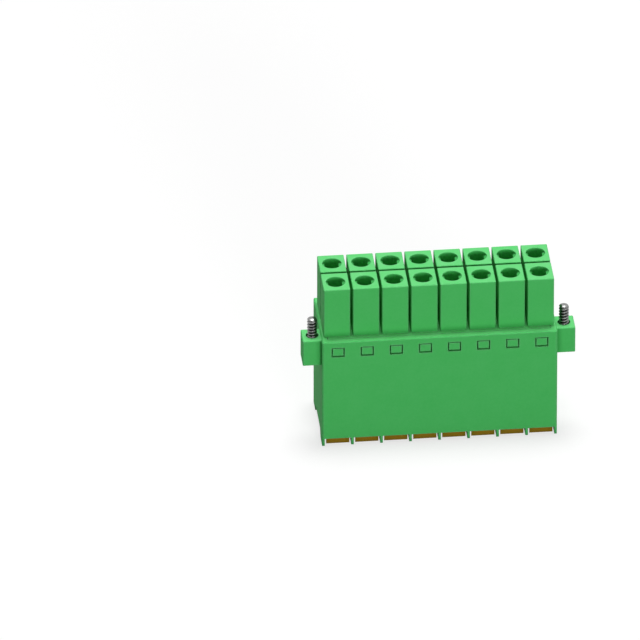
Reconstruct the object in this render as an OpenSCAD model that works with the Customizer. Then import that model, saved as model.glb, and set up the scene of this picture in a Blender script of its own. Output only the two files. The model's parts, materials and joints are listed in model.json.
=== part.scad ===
// Pluggable terminal block, double row, with release levers and screw flanges.
//
// The plug stands on its wire-entry end. X runs along the rows of poles, -Y is the
// front broad side and +Z points out of the mating end. The origin is the middle of
// the footprint, at the tips of the ribs that the plug stands on.

/* [Poles] */
// Number of poles in each of the two rows
poles_per_row = 8; // [2:1:8]
// Distance between neighbouring poles in a row
pole_pitch = 3.5; // [3.4:0.05:4.2]
// Distance between the socket centres of the two rows
socket_row_pitch = 4.3; // [4.2:0.05:4.4]
// Distance between the wire-entry centres of the two rows
entry_row_pitch = 2.8; // [2.7:0.05:2.9]

/* [Housing] */
// Depth of the housing from broad side to broad side
housing_depth = 10.6; // [10.5:0.05:11.4]
// Height of the housing from the wire-entry face to the rim
housing_height = 13.5; // [12:0.1:16]
// How far each end wall stands out beyond the outermost pole's share of the row
end_margin = 0.15; // [0.1:0.05:0.6]
// Thickness of the shell around the contact carrier
shell_wall = 0.7; // [0.6:0.05:0.8]
// Depth from the rim to the seat of the contact carrier
carrier_seat_depth = 4.5; // [4.2:0.1:4.8]
// Width of the bevel on the outer edges of the mouldings
edge_bevel = 0.15; // [0.05:0.05:0.25]

/* [Wire entry] */
// Diameter of a wire-entry hole
entry_diameter = 2.37; // [2:0.01:2.4]
// Diameter of the funnel's throat, where the wire meets the clamp
throat_diameter = 1.9; // [1.5:0.05:1.95]
// Thickness of the wire-entry face, from the outside to the clamping chamber
entry_floor = 3.2; // [3:0.1:3.4]
// How far the ribs stand out from the wire-entry face
rib_height = 1.05; // [0.95:0.05:1.4]
// Thickness of a rib between two levers
rib_thickness = 0.3; // [0.25:0.05:0.4]
// Width of a rib's foot, measured from the broad side
rib_foot = 2.75; // [2.6:0.05:2.8]
// Width of a rib's tip, measured from the broad side
rib_tip = 2.15; // [2:0.05:2.2]

/* [Release levers] */
// Thickness of the housing's skin outside a lever
lever_skin = 0.3; // [0.25:0.05:0.35]
// Thickness of a lever's head
lever_thickness = 1.75; // [1.6:0.05:1.8]
// Width of a lever's tip, between the ribs
lever_tip_width = 2.8; // [2.6:0.05:3]
// How far a lever's tip lies behind the rib tips
lever_recess = 0.15; // [0.05:0.05:0.3]
// How far a lever can be pressed in before its head meets the chamber wall
lever_travel = 0.8; // [0.5:0.05:0.85]
// Distance from the conductor's path out to a lever's nose
nose_setback = 0.35; // [0.3:0.01:0.4]
// Width of the tool groove across a lever's tip
groove_width = 0.77; // [0.5:0.01:0.9]
// Depth of the tool groove
groove_depth = 0.8; // [0.4:0.05:0.85]
// Clearance on each side of a lever in its pocket
lever_clearance = 0.05; // [0.03:0.01:0.08]

/* [Clamping chambers] */
// Thickness of the partition between neighbouring chambers
partition = 0.6; // [0.5:0.05:0.9]
// Thickness of the wall between the two rows of chambers
middle_wall = 0.4; // [0.3:0.05:0.5]
// Thickness of a chamber's outer wall
chamber_wall = 0.8; // [0.7:0.05:0.85]

/* [Contacts and springs] */
// Thickness of the contact's sheet metal
contact_sheet = 0.22; // [0.18:0.01:0.26]
// Width of the current bar and of the clamp spring
bar_width = 2.2; // [1.8:0.05:2.4]
// Height of the current bar's lower end above the chamber's floor
bar_lift = 0.8; // [0.4:0.1:1.2]
// Thickness of the clamp spring's steel strip
spring_sheet = 0.2; // [0.15:0.01:0.25]
// Inner radius of the clamp spring's bend
spring_bend = 0.35; // [0.3:0.01:0.4]
// Height of the bend's centre above the chamber's floor
spring_bend_lift = 2.7; // [2.5:0.05:2.9]
// Distance from the contact's tab down to the tip of the clamping leg
spring_tip_drop = 1; // [0.8:0.05:1.2]
// Width of a fork arm
fork_arm_width = 1.2; // [0.9:0.05:1.3]
// Distance from the tips of the fork up to the round mouth of the socket
fork_recess = 0.4; // [0.2:0.05:1]
// Gap between the fork arms where they grip a pin
fork_grip = 0.7; // [0.5:0.05:0.8]

/* [Mating towers] */
// Height of a tower above the rim
tower_height = 6.55; // [5.5:0.05:8]
// Depth of a tower across the rows
tower_depth = 3.87; // [3.8:0.01:4]
// Width of the slots between neighbouring towers in a row
tower_slot = 0.32; // [0.25:0.01:0.5]
// Width of the gap between the two rows of towers
row_gap = 0.36; // [0.2:0.01:0.4]
// Width of the bevel on the edges of a tower
tower_bevel = 0.08; // [0.03:0.01:0.15]
// Diameter of a socket
socket_diameter = 2.3; // [2.2:0.05:2.5]
// Depth of the round mouth of a socket, above the contact
socket_depth = 2.8; // [2:0.1:3.5]
// Depth of the full round at the very mouth of a socket, above its ramps
socket_round_depth = 0.15; // [0.15:0.05:0.4]
// Depth at which the ramps on both sides have narrowed a socket to its two flats
socket_ramp_depth = 0.55; // [0.5:0.05:1.2]
// Distance between the two flats inside a socket
socket_flats = 1.7; // [1.5:0.05:1.9]
// Width of the lead-in bevel around a socket's mouth
socket_lead_in = 0.05; // [0.03:0.01:0.1]

/* [Latches] */
// Width of a latch lug
lug_width = 1.3; // [1:0.05:1.6]
// Height of a latch lug
lug_height = 1.1; // [0.9:0.05:1.4]
// Distance from the rim down to the top of a latch window
window_drop = 0.85; // [0.6:0.05:1.2]
// Gap above and below a lug in its window
window_gap = 0.08; // [0.05:0.01:0.12]
// Gap on each side of a lug in its window
window_side_gap = 0.13; // [0.05:0.01:0.15]

/* [Screw flanges] */
// How far an ear stands out from the end wall
ear_reach = 2.25; // [2.2:0.05:3]
// Depth of an ear across the row
ear_depth = 2.85; // [2.2:0.05:3.5]
// Height of an ear
ear_height = 3.4; // [3.2:0.05:5]
// Distance from the front broad side to an ear
ear_setback = 0.9; // [0.5:0.05:2]
// Distance from the rim down to the top of an ear
ear_drop = 0.22; // [0.15:0.01:1]
// Distance from the end wall to the screw's axis
screw_offset = 1; // [0.97:0.01:1.25]
// Outer diameter of the screw thread
thread_diameter = 1.2; // [1.15:0.01:1.3]
// Diameter of the plain neck under the thread
neck_diameter = 0.74; // [0.66:0.01:0.76]
// How far the screw stands out above the ear
screw_reach = 2.45; // [1.5:0.05:3]
// Height of the rounded tip of the screw
screw_dome = 0.3; // [0.2:0.01:0.4]
// Height from the rim of the housing up to the start of the thread
thread_lift = 0.05; // [0.02:0.01:0.2]
// Diameter of the screw head
head_diameter = 1.54; // [1.52:0.01:1.6]
// Height of the screw head
head_height = 0.9; // [0.6:0.05:1]
// Diameter of the clearance hole around the thread
ear_hole_diameter = 1.54; // [1.52:0.01:1.6]
// Depth of the clearance hole below the ear's top
ear_hole_depth = 1.2; // [0.6:0.05:1.4]
// Radial gap between the neck and its collar
neck_clearance = 0.07; // [0.05:0.01:0.09]

/* [Fits] */
// Gap between the contact carrier and the shell
carrier_clearance = 0.05; // [0.03:0.01:0.08]
// Gap between sheet-metal pieces and the walls that hold them
metal_clearance = 0.05; // [0.03:0.01:0.06]

/* [Hidden] */
// Overlap that joins or cuts shapes cleanly
e = 0.01;
$fn = 48;

pole_count = 2 * poles_per_row;
row_width = poles_per_row * pole_pitch;
housing_width = row_width + 2 * end_margin;

// Levels above the rib tips
face_z = rib_height;
chamber_z = face_z + entry_floor;
rim_z = face_z + housing_height;
seat_z = rim_z - carrier_seat_depth;
tower_top_z = rim_z + tower_height;

// Places across the row, as distances from the middle plane
outer_y = housing_depth / 2;
socket_y = socket_row_pitch / 2;
entry_y = entry_row_pitch / 2;
carrier_outer_y = outer_y - shell_wall - carrier_clearance;
chamber_outer_y = outer_y - chamber_wall;
chamber_inner_y = middle_wall / 2;
chamber_width = pole_pitch - partition;
funnel_height = 0.8;

// Lever head, and the pocket that guides it
lever_outer_y = outer_y - lever_skin - lever_clearance;
lever_inner_y = lever_outer_y - lever_thickness;
lever_width = pole_pitch - rib_thickness - 2 * lever_clearance;
lever_tip_z = lever_recess;
lever_head_z = chamber_z - lever_travel - lever_clearance;
pocket_inner_y = lever_inner_y - lever_clearance;
pocket_width = pole_pitch - rib_thickness;
rib_overlap = 0.3;
// Narrow edge beside the tool groove, its bevel, and the rounded land on the other side
groove_edge = 0.15;
tip_bevel = 0.08;
land_radius = (lever_thickness - groove_edge - groove_width) / 2;

// Current bar, against the middle wall
bar_outer_y = chamber_inner_y + metal_clearance + contact_sheet;
bar_z = chamber_z + bar_lift;
tab_z = seat_z - metal_clearance - contact_sheet;

// Mating towers, sockets and the forks inside them
tower_width = pole_pitch - tower_slot;
tower_y = (row_gap + tower_depth) / 2;
socket_floor_z = tower_top_z - socket_depth;
fork_tip_z = socket_floor_z - fork_recess;
fork_span = 1.96;
fork_clearance = 0.06;
fork_foot_share = 0.25;
fork_grip_share = 0.88;
fork_flare = 0.25;

// Latch lugs
lug_z = rim_z - window_drop - window_gap - lug_height;
lug_root = 0.3;

// Clamp spring: anchor leg on the outer wall, bend, and a leg that slants up to the bar
bend_mid = spring_bend + spring_sheet / 2;
anchor_y = chamber_outer_y - metal_clearance - spring_sheet / 2;
bend_y = anchor_y - bend_mid;
bend_z = chamber_z + spring_bend_lift;
leg_tip_gap = 0.03;
leg_tip_y = bar_outer_y + leg_tip_gap + spring_sheet / 2;
leg_tip_z = tab_z - spring_tip_drop;
// The leg leaves the bend as the tangent that runs to the tip
leg_reach = norm([bend_y - leg_tip_y, leg_tip_z - bend_z]);
leg_length = sqrt(pow(leg_reach, 2) - pow(bend_mid, 2));
leg_angle = atan2(leg_tip_z - bend_z, bend_y - leg_tip_y) + asin(bend_mid / leg_reach);
leg_start_y = bend_y - bend_mid * sin(leg_angle);
leg_start_z = bend_z - bend_mid * cos(leg_angle);
// Height of the slanting leg's lower face at a distance y from the middle plane
function leg_face_z(y) =
    leg_start_z + (leg_start_y - y) * tan(leg_angle) - spring_sheet / 2 / cos(leg_angle);

// Lever stem and nose
stem_margin = 0.2;
stem_width = bar_width + 2 * stem_margin;
nose_gap = 0.06;
nose_root = 0.2;
nose_inner_y = entry_y + throat_diameter / 2 + nose_setback;
nose_outer_y = lever_inner_y + nose_root;
nose_shoulder_z = chamber_z + lever_clearance;
stem_end_z = bend_z - spring_bend - spring_sheet - lever_travel - nose_gap;

// Screw
screw_x = housing_width / 2 + screw_offset;
screw_y = -outer_y + ear_setback + ear_depth / 2;
ear_top_z = rim_z - ear_drop;
ear_bottom_z = ear_top_z - ear_height;
collar_top_z = ear_top_z - ear_hole_depth;
// The thread starts above the rim, so that a nut on it clears the end wall
thread_z = rim_z + thread_lift;
screw_top_z = ear_top_z + screw_reach;
head_recess = 0.1;
head_clearance = 0.07;
head_top_z = ear_bottom_z + head_recess + head_height;
ear_root = 0.5;
ear_bevel = 0.1;
slot_width = 0.25;
slot_depth = 0.35;

// Poles 1 to n are the front row and the rest are the back row
function pole_x(k) = (k % poles_per_row - (poles_per_row - 1) / 2) * pole_pitch;
function pole_side(k) = k < poles_per_row ? -1 : 1;
function numbered(name, k) = str(name, k < 9 ? "_0" : "_", k + 1);

// Places its children at pole k, with +Y pointing from the middle to the outside
module at_pole(k) {
    translate([pole_x(k), 0, 0])
        mirror([0, pole_side(k) < 0 ? 1 : 0, 0])
            children();
}

// Places its children at the left (-1) or right (1) end, with +X pointing outwards
module at_end(side) {
    mirror([side < 0 ? 1 : 0, 0, 0])
        children();
}

// Outline in the YZ plane, stretched along X and centred on the row's middle
module along_x(width) {
    translate([-width / 2, 0, 0])
        rotate([90, 0, 90])
            linear_extrude(width)
                children();
}

// Outline in the XZ plane, stretched along Y and centred on the middle plane
module along_y(depth) {
    translate([0, depth / 2, 0])
        rotate([90, 0, 0])
            linear_extrude(depth)
                children();
}

// Rectangle with a bevel on each of its corners
module bevelled_plan(width, depth, bevel) {
    x = width / 2;
    y = depth / 2;
    polygon([
        [-x + bevel, -y],
        [x - bevel, -y],
        [x, -y + bevel],
        [x, y - bevel],
        [x - bevel, y],
        [-x + bevel, y],
        [-x, y - bevel],
        [-x, -y + bevel]
    ]);
}

// Rectangle standing on the base line, with a bevel on each of its top corners
module bevelled_front(width, height, bevel) {
    x = width / 2;
    polygon([
        [-x, 0],
        [x, 0],
        [x, height - bevel],
        [x - bevel, height],
        [-x + bevel, height],
        [-x, height - bevel]
    ]);
}

// Block standing on its base, with bevels along its upright and its top edges
module bevelled_block(width, depth, height, bevel) {
    intersection() {
        linear_extrude(height)
            bevelled_plan(width, depth, bevel);
        along_x(width)
            bevelled_front(depth, height, bevel);
        along_y(depth)
            bevelled_front(width, height, bevel);
    }
}

// Box given by its width, centred on x = 0, and its ranges along Y and Z
module slab(width, y0, y1, z0, z1) {
    translate([-width / 2, y0, z0])
        cube([width, y1 - y0, z1 - z0]);
}

// Row of ribs along the outer edge of the wire-entry face, at the +Y side
module rib_row() {
    difference() {
        along_x(housing_width)
            polygon([
                [outer_y, face_z + rib_overlap],
                [outer_y, edge_bevel],
                [outer_y - edge_bevel, 0],
                [outer_y - rib_tip, 0],
                [outer_y - rib_foot, face_z],
                [outer_y - rib_foot, face_z + rib_overlap]
            ]);
        for (k = [0:poles_per_row - 1])
            translate([pole_x(k), 0, 0])
                slab(pocket_width, outer_y - rib_foot - e, outer_y + e, -e, face_z);
    }
}

// Outer form of the housing, without its ears
module housing_form() {
    intersection() {
        linear_extrude(rim_z)
            bevelled_plan(housing_width, housing_depth, edge_bevel);
        union() {
            translate([0, 0, face_z])
                bevelled_block(housing_width, housing_depth, housing_height, edge_bevel);
            rib_row();
            mirror([0, 1, 0])
                rib_row();
        }
    }
}

// Screw ear on the right-hand end wall
module ear() {
    inner_x = housing_width / 2 - ear_root;
    translate([inner_x + (ear_reach + ear_root) / 2, screw_y, ear_bottom_z])
        bevelled_block(ear_reach + ear_root, ear_depth, ear_height, ear_bevel);
}

// Stepped hole through the right-hand ear: thread clearance, collar, head recess
module ear_hole() {
    translate([screw_x, screw_y, 0]) {
        translate([0, 0, collar_top_z])
            cylinder(d = ear_hole_diameter, h = ear_hole_depth + e);
        translate([0, 0, ear_bottom_z - e])
            cylinder(d = neck_diameter + 2 * neck_clearance, h = ear_height);
        translate([0, 0, ear_bottom_z - e])
            cylinder(
                d = head_diameter + 2 * head_clearance,
                h = head_top_z + head_clearance - ear_bottom_z + e
            );
    }
}

// Round wire entry with the funnel that centres the conductor
module wire_entry() {
    translate([0, entry_y, face_z - e])
        cylinder(d = entry_diameter, h = entry_floor - funnel_height + e);
    translate([0, entry_y, chamber_z - funnel_height])
        cylinder(d1 = entry_diameter, d2 = throat_diameter, h = funnel_height);
    translate([0, entry_y, chamber_z - e])
        cylinder(d = throat_diameter, h = 2 * e);
}

// Everything that is hollow at one pole of the housing
module pole_hollow() {
    wire_entry();
    slab(pocket_width, pocket_inner_y, outer_y - lever_skin, -e, chamber_z + e);
    slab(chamber_width, chamber_inner_y, chamber_outer_y, chamber_z, seat_z + e);
    slab(
        lug_width + 2 * window_side_gap,
        outer_y - shell_wall - e,
        outer_y + e,
        lug_z - window_gap,
        rim_z - window_drop
    );
}

// Shell, wire-entry face, lever pockets and screw ears, moulded in one piece
module housing() {
    color("mediumseagreen")
        difference() {
            union() {
                housing_form();
                for (side = [-1, 1])
                    at_end(side)
                        ear();
            }
            slab(
                housing_width - 2 * shell_wall,
                -outer_y + shell_wall,
                outer_y - shell_wall,
                seat_z,
                rim_z + e
            );
            for (k = [0:pole_count - 1])
                at_pole(k)
                    pole_hollow();
            for (side = [-1, 1])
                at_end(side)
                    ear_hole();
        }
}

// One mating tower, standing on the rim
module tower() {
    translate([0, tower_y, rim_z])
        bevelled_block(tower_width, tower_depth, tower_height, tower_bevel);
}

// Round mouth with its lead-in bevel, the ramps and the two flats below it, and the
// square contact chamber under one socket
module socket() {
    mouth_x = socket_diameter / 2 + e;
    flat_x = socket_flats / 2;
    translate([0, socket_y, 0]) {
        intersection() {
            translate([0, 0, socket_floor_z])
                cylinder(d = socket_diameter, h = socket_depth + e);
            along_y(2 * socket_diameter)
                polygon([
                    [-flat_x, socket_floor_z - e],
                    [flat_x, socket_floor_z - e],
                    [flat_x, tower_top_z - socket_ramp_depth],
                    [mouth_x, tower_top_z - socket_round_depth],
                    [mouth_x, tower_top_z + 2 * e],
                    [-mouth_x, tower_top_z + 2 * e],
                    [-mouth_x, tower_top_z - socket_round_depth],
                    [-flat_x, tower_top_z - socket_ramp_depth]
                ]);
        }
        translate([0, 0, tower_top_z - socket_lead_in])
            cylinder(
                d1 = socket_diameter,
                d2 = socket_diameter + 2 * (socket_lead_in + e),
                h = socket_lead_in + e
            );
    }
    slab(
        fork_span + 2 * fork_clearance,
        socket_y - fork_arm_width / 2 - fork_clearance,
        socket_y + fork_arm_width / 2 + fork_clearance,
        seat_z - e,
        socket_floor_z + e
    );
}

// Latch lug that fills a window of the shell, with a bevel on its leading edge
module latch_lug() {
    along_x(lug_width)
        polygon([
            [carrier_outer_y - lug_root, lug_z],
            [outer_y - edge_bevel, lug_z],
            [outer_y, lug_z + edge_bevel],
            [outer_y, lug_z + lug_height],
            [carrier_outer_y - lug_root, lug_z + lug_height]
        ]);
}

// Inner block that holds the contacts and carries the mating towers
module contact_carrier() {
    color("seagreen")
        difference() {
            union() {
                slab(
                    housing_width - 2 * (shell_wall + carrier_clearance),
                    -carrier_outer_y,
                    carrier_outer_y,
                    seat_z,
                    rim_z
                );
                for (k = [0:pole_count - 1])
                    at_pole(k) {
                        tower();
                        latch_lug();
                    }
            }
            for (k = [0:pole_count - 1])
                at_pole(k)
                    socket();
        }
}

// Cross-section of a lever's tip: a thin edge, the tool groove and a rounded land
module lever_tip(groove_y, land_y) {
    difference() {
        polygon([
            [lever_inner_y, face_z + e],
            [lever_outer_y, face_z + e],
            [lever_outer_y, lever_tip_z + tip_bevel],
            [lever_outer_y - tip_bevel, lever_tip_z],
            [lever_inner_y + tip_bevel, lever_tip_z],
            [lever_inner_y, lever_tip_z + tip_bevel]
        ]);
        translate([groove_y, lever_tip_z - e])
            square([groove_width, groove_depth + e]);
        translate([land_y - land_radius - e, lever_tip_z - e])
            square([2 * (land_radius + e), land_radius + e]);
    }
    translate([land_y, lever_tip_z + land_radius])
        circle(r = land_radius);
}

// Release lever of pole k: grooved head, stem, and the nose that opens the clamp
module lever(k) {
    // The groove lies on the front side of every lever, in both rows
    front = pole_side(k) < 0;
    groove_y = front
        ? lever_outer_y - groove_edge - groove_width
        : lever_inner_y + groove_edge;
    land_y = front ? lever_inner_y + land_radius : lever_outer_y - land_radius;
    color("darkorange")
        at_pole(k) {
            slab(lever_width, lever_inner_y, lever_outer_y, face_z, lever_head_z);
            along_x(lever_tip_width)
                lever_tip(groove_y, land_y);
            slab(
                stem_width,
                lever_inner_y,
                chamber_outer_y - lever_clearance,
                lever_head_z - e,
                stem_end_z
            );
            along_x(bar_width)
                polygon([
                    [nose_outer_y, nose_shoulder_z],
                    [nose_outer_y, leg_face_z(nose_outer_y) - nose_gap],
                    [nose_inner_y, leg_face_z(nose_inner_y) - nose_gap],
                    [nose_inner_y, nose_shoulder_z]
                ]);
        }
}

// One arm of the fork, seen along Y: upright foot, slope to the grip, flared tip
module fork_arm() {
    x0 = fork_span / 2 - contact_sheet;
    x1 = fork_grip / 2;
    rise = fork_tip_z - tab_z;
    translate([0, socket_y, tab_z])
        along_y(fork_arm_width)
            polygon([
                [x0, 0],
                [x0 + contact_sheet, 0],
                [x0 + contact_sheet, rise * fork_foot_share],
                [x1 + contact_sheet, rise * fork_grip_share],
                [x1 + contact_sheet + fork_flare, rise],
                [x1 + fork_flare, rise],
                [x1, rise * fork_grip_share],
                [x0, rise * fork_foot_share]
            ]);
}

// Contact of pole k: current bar, tab under the carrier, and two-arm female fork
module contact(k) {
    color("lightgray")
        at_pole(k) {
            slab(
                bar_width,
                bar_outer_y - contact_sheet,
                bar_outer_y,
                bar_z,
                tab_z + contact_sheet
            );
            slab(
                bar_width,
                bar_outer_y - contact_sheet,
                chamber_outer_y - metal_clearance,
                tab_z,
                tab_z + contact_sheet
            );
            fork_arm();
            mirror([1, 0, 0])
                fork_arm();
        }
}

// Clamp spring of pole k: anchor leg, bend, and the leg that presses on the bar
module spring(k) {
    color("silver")
        at_pole(k) {
            slab(
                bar_width,
                anchor_y - spring_sheet / 2,
                anchor_y + spring_sheet / 2,
                bend_z,
                tab_z - leg_tip_gap
            );
            along_x(bar_width)
                translate([bend_y, bend_z])
                    spring_arc();
            translate([0, leg_start_y, leg_start_z])
                rotate([-leg_angle, 0, 0])
                    slab(
                        bar_width,
                        -leg_length,
                        e,
                        -spring_sheet / 2,
                        spring_sheet / 2
                    );
        }
}

// Bend of the clamp spring around its own centre, from the anchor leg to the other
module spring_arc() {
    far = 2 * (spring_bend + spring_sheet);
    difference() {
        circle(r = spring_bend + spring_sheet);
        circle(r = spring_bend);
        polygon([
            [0, 0],
            [far, 0],
            [far, far],
            [-far, far],
            [-far, -far * cos(leg_angle) / sin(leg_angle)]
        ]);
    }
}

// Captive flange screw: slotted head, plain neck and thread, standing in its ear
module flange_screw(side) {
    dome_radius = (pow(thread_diameter / 2, 2) + pow(screw_dome, 2)) / (2 * screw_dome);
    color("slategray")
        at_end(side)
            translate([screw_x, screw_y, 0]) {
                translate([0, 0, thread_z])
                    cylinder(d = thread_diameter, h = screw_top_z - screw_dome - thread_z);
                translate([0, 0, screw_top_z - dome_radius])
                    intersection() {
                        sphere(r = dome_radius);
                        translate([0, 0, dome_radius - screw_dome - e])
                            cylinder(d = thread_diameter, h = screw_dome + 2 * e);
                    }
                translate([0, 0, head_top_z - e])
                    cylinder(d = neck_diameter, h = thread_z - head_top_z + 2 * e);
                difference() {
                    translate([0, 0, head_top_z - head_height])
                        cylinder(d = head_diameter, h = head_height);
                    slab(
                        slot_width,
                        -head_diameter,
                        head_diameter,
                        head_top_z - head_height - e,
                        head_top_z - head_height + slot_depth
                    );
                }
            }
}

housing();
contact_carrier();
for (k = [0:pole_count - 1]) {
    lever(k);
    contact(k);
    spring(k);
}
flange_screw(-1);  // flange_screw_left
flange_screw(1);  // flange_screw_right
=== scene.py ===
import json
import math
import bpy
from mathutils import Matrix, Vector


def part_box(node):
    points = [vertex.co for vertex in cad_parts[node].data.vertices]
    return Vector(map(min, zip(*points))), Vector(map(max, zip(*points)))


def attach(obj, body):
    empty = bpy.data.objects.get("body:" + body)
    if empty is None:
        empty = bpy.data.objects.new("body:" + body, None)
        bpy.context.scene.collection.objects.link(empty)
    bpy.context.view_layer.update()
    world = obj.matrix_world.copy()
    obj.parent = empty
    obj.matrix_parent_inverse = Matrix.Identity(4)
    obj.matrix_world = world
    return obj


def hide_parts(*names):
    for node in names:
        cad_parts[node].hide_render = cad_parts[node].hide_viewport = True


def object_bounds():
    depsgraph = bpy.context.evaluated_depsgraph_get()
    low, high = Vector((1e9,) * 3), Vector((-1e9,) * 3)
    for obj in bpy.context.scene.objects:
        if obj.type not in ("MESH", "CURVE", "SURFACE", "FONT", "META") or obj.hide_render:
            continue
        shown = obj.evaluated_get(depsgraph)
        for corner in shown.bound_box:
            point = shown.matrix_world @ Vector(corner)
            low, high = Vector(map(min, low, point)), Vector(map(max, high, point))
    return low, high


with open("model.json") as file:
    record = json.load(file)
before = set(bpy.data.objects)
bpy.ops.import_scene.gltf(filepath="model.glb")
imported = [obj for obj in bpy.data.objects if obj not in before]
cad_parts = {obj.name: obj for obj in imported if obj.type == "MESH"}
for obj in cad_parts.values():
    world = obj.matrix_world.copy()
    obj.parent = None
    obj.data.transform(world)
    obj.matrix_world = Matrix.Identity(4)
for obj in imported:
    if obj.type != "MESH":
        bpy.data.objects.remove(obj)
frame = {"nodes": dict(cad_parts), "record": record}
cad_lo, cad_hi = [v.copy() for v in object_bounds()]

MM = 0.001
COLLECTION = bpy.context.scene.collection

# ---------------------------------------------------------------- small helpers


def box(node):
    """Lowest and highest corner of a CAD node, in millimetres."""
    lo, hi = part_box(node)
    return Vector(lo) / MM, Vector(hi) / MM


def mesh_piece(name, points, faces, smooth_angle=30):
    """New mesh object from points in millimetres."""
    mesh = bpy.data.meshes.new(name)
    mesh.from_pydata([[c * MM for c in p] for p in points], [], faces)
    mesh.validate()
    mesh.update()
    obj = bpy.data.objects.new(name, mesh)
    COLLECTION.objects.link(obj)
    mesh.shade_smooth()
    mesh.set_sharp_from_angle(angle=math.radians(smooth_angle))
    return obj


# ------------------------------------------------------------------- materials


class Nodes:
    """Builds a node tree with short calls."""

    def __init__(self, tree):
        self.tree = tree
        tree.nodes.clear()

    def add(self, kind, values=None, **settings):
        node = self.tree.nodes.new(kind)
        for key, value in settings.items():
            setattr(node, key, value)
        for key, value in (values or {}).items():
            if isinstance(value, bpy.types.NodeSocket):
                self.tree.links.new(value, node.inputs[key])
            else:
                node.inputs[key].default_value = value
        return node

    def noise(self, vector, scale, detail=3.0, roughness=0.5):
        node = self.add(
            "ShaderNodeTexNoise",
            {"Vector": vector, "Scale": scale, "Detail": detail, "Roughness": roughness},
        )
        return node.outputs["Fac"]

    def remap(self, value, low, high, to_low, to_high):
        node = self.add(
            "ShaderNodeMapRange",
            {
                "Value": value,
                "From Min": low,
                "From Max": high,
                "To Min": to_low,
                "To Max": to_high,
            },
        )
        return node.outputs["Result"]

    def mix(self, factor, first, second, blend="MIX"):
        node = self.add("ShaderNodeMix", data_type="RGBA", blend_type=blend)
        for index, value in ((0, factor), (6, first), (7, second)):
            if isinstance(value, bpy.types.NodeSocket):
                self.tree.links.new(value, node.inputs[index])
            else:
                node.inputs[index].default_value = value
        return node.outputs[2]

    def math(self, operation, first, second=0.0):
        node = self.add("ShaderNodeMath", operation=operation)
        for index, value in ((0, first), (1, second)):
            if isinstance(value, bpy.types.NodeSocket):
                self.tree.links.new(value, node.inputs[index])
            else:
                node.inputs[index].default_value = value
        return node.outputs[0]


def rgba(colour):
    return (*colour, 1.0)


def new_material(name):
    material = bpy.data.materials.new(name)
    material.use_nodes = True
    return material, Nodes(material.node_tree)


# Radii of the soft and of the crisp part of a moulded edge, which also bound the painted edge
# highlight, and reach of the painted shade in corners
SOFT_EDGE = 0.28
CRISP_EDGE = 0.05
CORNER_REACH = 0.9
# Pale tone on up-facing faces: painted sheen of the light on the tops, mottled like dust
DUST_AND_TOP_SHEEN = (0.50, 0.70, 0.55)
# Painted shade in the roots of a screw thread
GROOVE_SHADE = (0.012, 0.012, 0.013)


def plastic(name, colours, full_shade_at, grain=9000.0, roughness=0.66):
    """Moulded plastic: flow mottling, eroded grain, pale edges that are painted edge highlight
    made patchy like rubbing, painted sheen on the tops mottled like dust, and painted shade in
    corners.

    full_shade_at is the open share of a corner's surroundings at which its painted shade is
    full.
    """
    colour, pale, edge_highlight_and_wear_tint, corner_shade_colour = colours
    material, n = new_material(name)
    where = n.add("ShaderNodeTexCoord").outputs["Object"]
    flow = n.noise(where, 420.0, 4.0, 0.6)
    speck = n.noise(where, 3500.0, 2.0, 0.5)
    fine = n.noise(where, grain, 2.0, 0.6)
    body = n.mix(n.remap(flow, 0.3, 0.7, 0.0, 0.16), rgba(colour), rgba(pale))
    body = n.mix(n.remap(speck, 0.35, 0.65, 0.0, 0.12), body, rgba(pale))
    flat = n.add("ShaderNodeNewGeometry").outputs["Normal"]

    def edge_share(radius):
        """How far a rounding of this radius turns the surface's normal, and that normal."""
        rounded = n.add("ShaderNodeBevel", {"Radius": radius * MM}, samples=6).outputs[0]
        facing = n.add(
            "ShaderNodeVectorMath", {0: rounded, 1: flat}, operation="DOT_PRODUCT"
        ).outputs["Value"]
        return n.remap(facing, 0.995, 0.90, 0.0, 1.0), rounded

    # Pale soft and sharp edges: painted edge highlight, made patchy like rubbed edges
    soft_edge_highlight_and_wear, _ = edge_share(SOFT_EDGE)
    crisp, rounded = edge_share(CRISP_EDGE)
    scuffs = n.remap(speck, 0.35, 0.6, 0.35, 0.75)
    body = n.mix(n.math("MULTIPLY", soft_edge_highlight_and_wear, scuffs), body, rgba(edge_highlight_and_wear_tint))
    body = n.mix(n.math("MULTIPLY", crisp, 0.2), body, rgba(pale))
    # Up-facing faces paled: painted sheen on the tops, mottled like dust
    upward = n.add("ShaderNodeSeparateXYZ", {0: flat}).outputs["Z"]
    dust_and_top_sheen = n.math("MULTIPLY", n.remap(upward, 0.7, 0.98, 0.0, 0.2), flow)
    body = n.mix(dust_and_top_sheen, body, rgba(DUST_AND_TOP_SHEEN))
    open_share = n.add(
        "ShaderNodeAmbientOcclusion", {"Distance": CORNER_REACH * MM}, samples=12
    ).outputs["AO"]
    # Painted shade in corners, most on upright faces; deep slots are dark already
    closed = n.remap(open_share, full_shade_at, 0.96, 0.8, 0.0)
    closed = n.math("MULTIPLY", closed, n.remap(open_share, 0.36, 0.48, 0.2, 1.0))
    closed = n.math("MULTIPLY", closed, n.remap(upward, 0.3, 0.8, 1.0, 0.0))
    body = n.mix(closed, body, rgba(corner_shade_colour))
    bump = n.add(
        "ShaderNodeBump",
        {"Height": fine, "Strength": 0.3, "Distance": 0.008 * MM, "Normal": rounded},
    )
    shader = n.add(
        "ShaderNodeBsdfPrincipled",
        {
            "Base Color": body,
            "Roughness": n.remap(fine, 0.3, 0.7, roughness - 0.06, roughness + 0.06),
            "Specular IOR Level": 0.12,
            "Normal": bump.outputs["Normal"],
        },
    )
    out = n.add("ShaderNodeOutputMaterial")
    n.tree.links.new(shader.outputs[0], out.inputs["Surface"])
    return material


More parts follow.
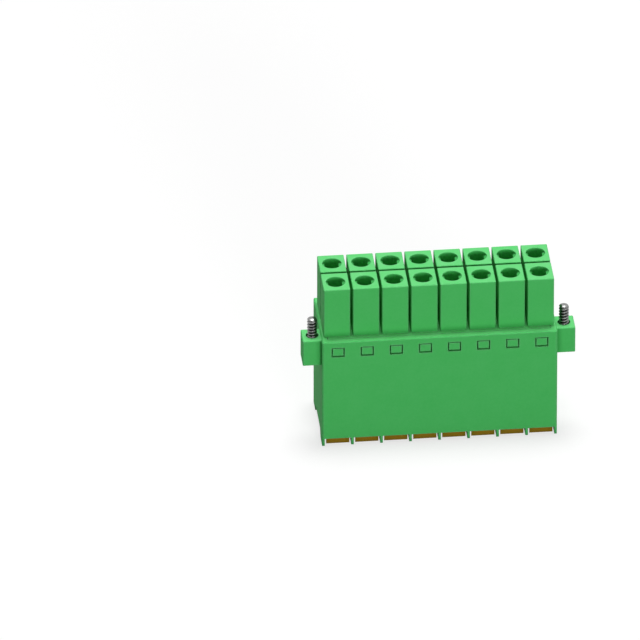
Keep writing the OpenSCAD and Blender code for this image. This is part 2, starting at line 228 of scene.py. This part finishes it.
def metal(name, light, dark, roughness, grain=(2500.0, 2500.0, 350.0), groove=False):
    """Drawn or rolled metal: lengthwise grain, faint tarnish, and painted shade in the grooves.
    """
    material, n = new_material(name)
    where = n.add("ShaderNodeTexCoord").outputs["Object"]
    stretched = n.add("ShaderNodeMapping", {"Vector": where, "Scale": grain}).outputs[0]
    streak = n.noise(stretched, 1.0, 3.0, 0.6)
    tarnish = n.noise(where, 1400.0, 4.0, 0.6)
    body = n.mix(n.remap(tarnish, 0.35, 0.7, 0.0, 1.0), rgba(light), rgba(dark))
    body = n.mix(n.remap(streak, 0.3, 0.7, 0.0, 0.3), body, rgba(dark))
    if groove:
        # Painted shade in the thread's roots, darker the deeper the groove
        depth = n.add("ShaderNodeAttribute", attribute_name="groove").outputs["Fac"]
        body = n.mix(depth, body, rgba(GROOVE_SHADE))
    bump = n.add(
        "ShaderNodeBump", {"Height": streak, "Strength": 0.2, "Distance": 0.004 * MM}
    )
    shader = n.add(
        "ShaderNodeBsdfPrincipled",
        {
            "Base Color": body,
            "Metallic": 1.0,
            "Roughness": n.remap(tarnish, 0.3, 0.7, roughness - 0.05, roughness + 0.08),
            "Normal": bump.outputs["Normal"],
        },
    )
    out = n.add("ShaderNodeOutputMaterial")
    n.tree.links.new(shader.outputs[0], out.inputs["Surface"])
    return material


# Colours of a plastic: body, pale flow marks, the painted edge highlight with its rubbing, and
# the painted shade in its corners
GREENS = (
    (0.074, 0.575, 0.128),
    (0.125, 0.660, 0.200),
    (0.175, 0.550, 0.240),
    (0.020, 0.260, 0.045),
)
ORANGES = (
    (0.46, 0.215, 0.009),
    (0.58, 0.29, 0.035),
    (0.52, 0.25, 0.022),
    # Olive painted shade in the levers' corners, tinged green as if lit by the housing
    (0.160, 0.130, 0.002),
)
MATERIALS = {
    "housing_green": plastic("housing_plastic", GREENS, 0.5),
    "carrier_green": plastic("carrier_plastic", GREENS, 0.5),
    "lever_orange": plastic("lever_plastic", ORANGES, 0.72, grain=8000.0, roughness=0.5),
    "contact_tin": metal("contact_tin_plate", (0.40, 0.40, 0.37), (0.26, 0.26, 0.24), 0.46),
    "spring_steel": metal("spring_strip", (0.44, 0.44, 0.45), (0.30, 0.30, 0.31), 0.36),
    "screw_steel": metal(
        "screw_bright_steel", (0.36, 0.365, 0.36), (0.17, 0.17, 0.17), 0.24, groove=True
    ),
}

slots = {row["node"]: row["material_slot"] for row in frame["record"]["subparts"]}
for node, obj in frame["nodes"].items():
    material = MATERIALS[slots[node]]
    for index in range(max(1, len(obj.material_slots))):
        if index < len(obj.material_slots):
            obj.material_slots[index].material = material
        else:
            obj.data.materials.append(material)

# ------------------------------------------------------------- flange screws

THREAD_PITCH = 0.4
THREAD_DEPTH = 0.2
THREAD_R = 0.6
THREAD_LENGTH = 3.3
# Shares of half a pitch that the root's flat and a flank take
ROOT_SHARE = 0.16
FLANK_SHARE = 0.66
NECK_R = 0.37
HEAD_R = 0.77
HEAD_HEIGHT = 0.9
HEAD_BEVEL = 0.07
TIP_ROUND = 0.3
TIP_R = 0.02
# Plain end of the screw, and the length over which the groove then reaches its depth
PLAIN_END = 0.14
RUN_OUT = 0.3
SLOT_WIDTH = 0.25
SLOT_DEPTH = 0.35
# How far the slot's cutter reaches to either side, and below the head
CUTTER_REACH = 1.3 * HEAD_R
CUTTER_MARGIN = 0.1
SIDES = 56
THREAD_STEPS = 150


def thread_form(turn):
    """Height of the ridge, from root (0) to crest (1), at a share of one turn."""
    flank = abs(2 * (turn % 1.0) - 1)
    return min(1.0, max(0.0, (flank - ROOT_SHARE) / FLANK_SHARE))


def crest_radius(from_tip):
    """Radius of the thread's outline, which rounds off over the last stretch."""
    if from_tip >= TIP_ROUND:
        return THREAD_R
    return max(TIP_R, THREAD_R * math.sqrt(1 - (1 - from_tip / TIP_ROUND) ** 2))


def screw_levels(bottom, top):
    """Rows of the lathe from the bottom up: height, outer radius, depth of the thread."""
    head_top = bottom + HEAD_HEIGHT
    thread_start = top - THREAD_LENGTH
    levels = [
        (bottom, HEAD_R - HEAD_BEVEL, 0.0),
        (bottom + HEAD_BEVEL, HEAD_R, 0.0),
        (head_top - HEAD_BEVEL, HEAD_R, 0.0),
        (head_top, HEAD_R - HEAD_BEVEL, 0.0),
        (head_top, NECK_R, 0.0),
        (thread_start, NECK_R, 0.0),
    ]
    for i in range(THREAD_STEPS + 1):
        z = thread_start + THREAD_LENGTH * i / THREAD_STEPS
        share = min(1.0, max(0.0, (top - z - PLAIN_END) / RUN_OUT))
        levels.append((z, crest_radius(top - z), THREAD_DEPTH * share))
    return levels


def lathe(name, axis_x, axis_y, levels):
    """Closed turned body around a vertical axis, with a helical groove where asked."""
    points, groove, faces = [], [], []
    for z, radius, depth in levels:
        for s in range(SIDES):
            angle = 2 * math.pi * s / SIDES
            sunk = 1 - thread_form(z / THREAD_PITCH - s / SIDES)
            r = radius - depth * sunk
            points.append((axis_x + r * math.cos(angle), axis_y + r * math.sin(angle), z))
            groove.append(sunk * depth / THREAD_DEPTH)
    for row in range(len(levels) - 1):
        for s in range(SIDES):
            a, b = row * SIDES + s, row * SIDES + (s + 1) % SIDES
            faces.append([a, b, b + SIDES, a + SIDES])
    last = (len(levels) - 1) * SIDES
    faces.append(list(range(SIDES - 1, -1, -1)))
    faces.append(list(range(last, last + SIDES)))
    obj = mesh_piece(name, points, faces, smooth_angle=40)
    # How deep each point lies in the groove, for the painted shade in the thread's roots
    layer = obj.data.attributes.new("groove", "FLOAT", "POINT")
    for i, value in enumerate(groove):
        layer.data[i].value = value
    return obj


def cut_slot(obj, axis_x, axis_y, bottom):
    """Cuts the screwdriver slot across the face of the head."""
    x0, x1 = axis_x - SLOT_WIDTH / 2, axis_x + SLOT_WIDTH / 2
    y0, y1 = axis_y - CUTTER_REACH, axis_y + CUTTER_REACH
    z0, z1 = bottom - CUTTER_MARGIN, bottom + SLOT_DEPTH
    corners = [(x, y, z) for z in (z0, z1) for x, y in ((x0, y0), (x1, y0), (x1, y1), (x0, y1))]
    faces = [(3, 2, 1, 0), (4, 5, 6, 7)]
    faces += [(i, (i + 1) % 4, (i + 1) % 4 + 4, i + 4) for i in range(4)]
    tool = mesh_piece("slot_tool", corners, faces)
    cut = obj.modifiers.new("slot", "BOOLEAN")
    cut.operation, cut.object, cut.solver = "DIFFERENCE", tool, "EXACT"
    with bpy.context.temp_override(object=obj, active_object=obj, selected_objects=[obj]):
        bpy.ops.object.modifier_apply(modifier=cut.name)
    bpy.data.objects.remove(tool)


def screw(side):
    """Whole flange screw in place of its CAD node, with slotted head and true helix."""
    node = f"flange_screw_{side}"
    lo, hi = box(node)
    axis_x, axis_y = (lo.x + hi.x) / 2, (lo.y + hi.y) / 2
    obj = lathe(f"screw_{side}_threaded", axis_x, axis_y, screw_levels(lo.z, hi.z))
    cut_slot(obj, axis_x, axis_y, lo.z)
    obj.data.materials.append(MATERIALS["screw_steel"])
    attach(obj, f"screw_{side}")
    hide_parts(node)


for side in ("left", "right"):
    screw(side)

# ------------------------------------------------------------ camera and lights

AZIMUTH, ELEVATION = -5.8, 31.3
FRAME_WIDTH = 76.9
# The middle of the picture, as seen from the middle of the footprint
AIM_RIGHT, AIM_UP = -13.82, 11.70
# A long lens far away: the picture shows almost parallel lines
LENS = 1200.0
SENSOR = 36.0

a, e = math.radians(AZIMUTH), math.radians(ELEVATION)
back = Vector((math.sin(a) * math.cos(e), -math.cos(a) * math.cos(e), math.sin(e)))
right = Vector((math.cos(a), math.sin(a), 0.0))
up = back.cross(right)
aim = (right * AIM_RIGHT + up * AIM_UP) * MM
distance = FRAME_WIDTH * MM * LENS / SENSOR
camera = bpy.data.cameras.new("camera")
camera.lens, camera.sensor_width = LENS, SENSOR
camera.clip_start, camera.clip_end = 0.05, 20.0
camera_obj = bpy.data.objects.new("camera", camera)
COLLECTION.objects.link(camera_obj)
camera_obj.location = aim + back * distance
camera_obj.rotation_mode = "QUATERNION"
camera_obj.rotation_quaternion = (-back).to_track_quat("-Z", "Y")
bpy.context.scene.camera = camera_obj


def sun(name, towards, strength, angle):
    """Soft sun; a white face square to one of strength 1 comes out white."""
    lamp = bpy.data.lights.new(name, "SUN")
    lamp.energy, lamp.angle = strength * math.pi, math.radians(angle)
    obj = bpy.data.objects.new(name, lamp)
    COLLECTION.objects.link(obj)
    obj.rotation_mode = "QUATERNION"
    obj.rotation_quaternion = Vector(towards).to_track_quat("Z", "Y")


sun("key", (0.03, 0.16, 0.97), 1.0, 24)
sun("fill", (0.20, -0.975, 0.08), 0.54, 20)

world = bpy.data.worlds.new("studio")
world.use_nodes = True
bpy.context.scene.world = world
n = Nodes(world.node_tree)
path = n.add("ShaderNodeLightPath")


def sees_white(n, path):
    """One for a camera, glossy or transmission ray, and zero for the rest."""
    seen = n.math("MAXIMUM", path.outputs["Is Camera Ray"], path.outputs["Is Glossy Ray"])
    return n.math("MAXIMUM", seen, path.outputs["Is Transmission Ray"])


# Light from all round on the object, whose picture and reflections still see white
AMBIENT = 0.17
strength = n.remap(sees_white(n, path), 0.0, 1.0, AMBIENT, 1.0)
sky = n.add("ShaderNodeBackground", {"Color": (1, 1, 1, 1), "Strength": strength})
out = n.add("ShaderNodeOutputWorld")
n.tree.links.new(sky.outputs[0], out.inputs["Surface"])

FLOOR_HALF = 0.6
FLOOR_DROP = 0.00001
# Greys of the paper for the object's light and for the picture, and its own glow
PAPER_BOUNCE, PAPER_SEEN = 0.20, 0.34
PAPER_GLOW = 0.70

h = FLOOR_HALF
floor = bpy.data.meshes.new("floor")
floor.from_pydata([(-h, -h, 0), (h, -h, 0), (h, h, 0), (-h, h, 0)], [], [(0, 1, 2, 3)])
floor_obj = bpy.data.objects.new("floor", floor)
COLLECTION.objects.link(floor_obj)
floor_obj.location.z = -FLOOR_DROP
floor_material, n = new_material("floor_paper")
path = n.add("ShaderNodeLightPath")
# Lit paper keeps the shadow in the picture, and throws little light back at the object
paper_grey = n.remap(path.outputs["Is Camera Ray"], 0.0, 1.0, PAPER_BOUNCE, PAPER_SEEN)
paper = n.add("ShaderNodeBsdfDiffuse", {"Color": paper_grey, "Roughness": 1.0})
glow = n.add(
    "ShaderNodeEmission",
    {"Color": (1, 1, 1, 1), "Strength": n.math("MULTIPLY", sees_white(n, path), PAPER_GLOW)},
)
both = n.add("ShaderNodeAddShader")
n.tree.links.new(paper.outputs[0], both.inputs[0])
n.tree.links.new(glow.outputs[0], both.inputs[1])
out = n.add("ShaderNodeOutputMaterial")
n.tree.links.new(both.outputs[0], out.inputs["Surface"])
floor.materials.append(floor_material)

bpy.context.scene.view_settings.view_transform = "Standard"
